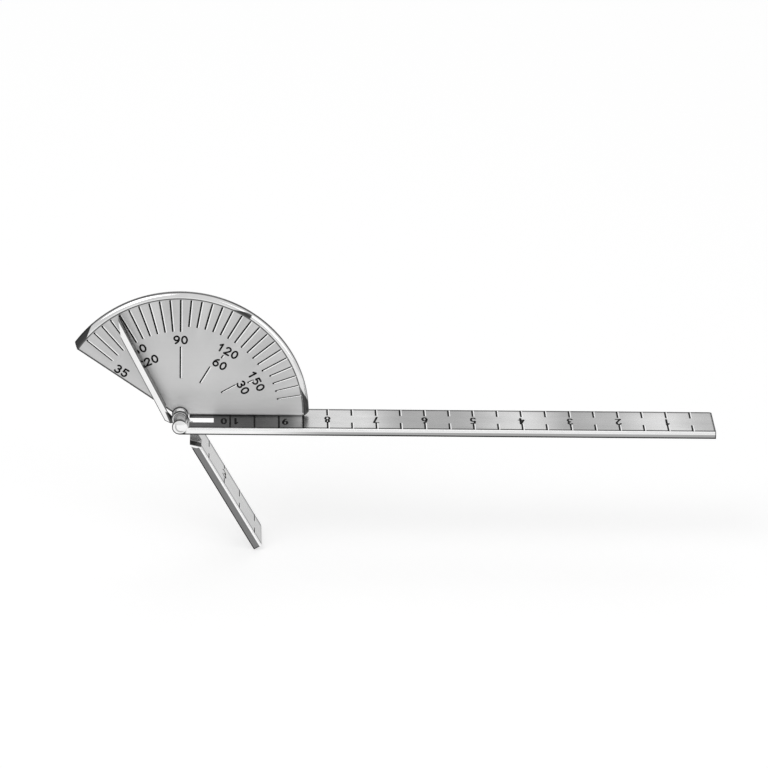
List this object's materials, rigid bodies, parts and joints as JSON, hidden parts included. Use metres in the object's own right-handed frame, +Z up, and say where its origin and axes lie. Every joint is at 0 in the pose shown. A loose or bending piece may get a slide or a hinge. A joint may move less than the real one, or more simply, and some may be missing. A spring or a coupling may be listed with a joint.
{
  "type": "finger goniometer",
  "caption": "Finger goniometer: a long ruled blade with a protractor sector, and a short blade with a pointer that turns on a rivet.",
  "frame": {"origin": "on the pivot axis, in the front face of the fixed blade's flange, where the user lines the instrument up with the finger joint", "axes": "+X along the fixed blade to its zero end, +Y from the front to the back along the pivot axis, +Z up from the fixed blade to the protractor"},
  "size_m": [0.1316, 0.0118, 0.0537],
  "materials": {
    "satin_steel": "satin stainless sheet, polished folds",
    "polished_steel": "polished stainless",
    "spring_steel": "spring steel",
    "scale_paint": "black filling of the engraved lines and numerals"
  },
  "bodies": {
    "fixed_arm": {"fixed_blade": "satin_steel", "protractor_plate": "satin_steel", "foot_rivets": "polished_steel", "pivot_rivet": "polished_steel", "front_sleeve": "polished_steel", "rear_burr": "polished_steel", "spring_washer": "spring_steel", "plate_collar": "polished_steel"},
    "moving_arm": {"moving_blade": "satin_steel", "pointer": "polished_steel"}
  },
  "joints": [
    {"name": "pivot", "type": "hinge", "parent": "fixed_arm", "child": "moving_arm", "pos_m": [0, 0, 0], "axis": [0, -1, 0], "range_deg": [-120, 25]}
  ]
}
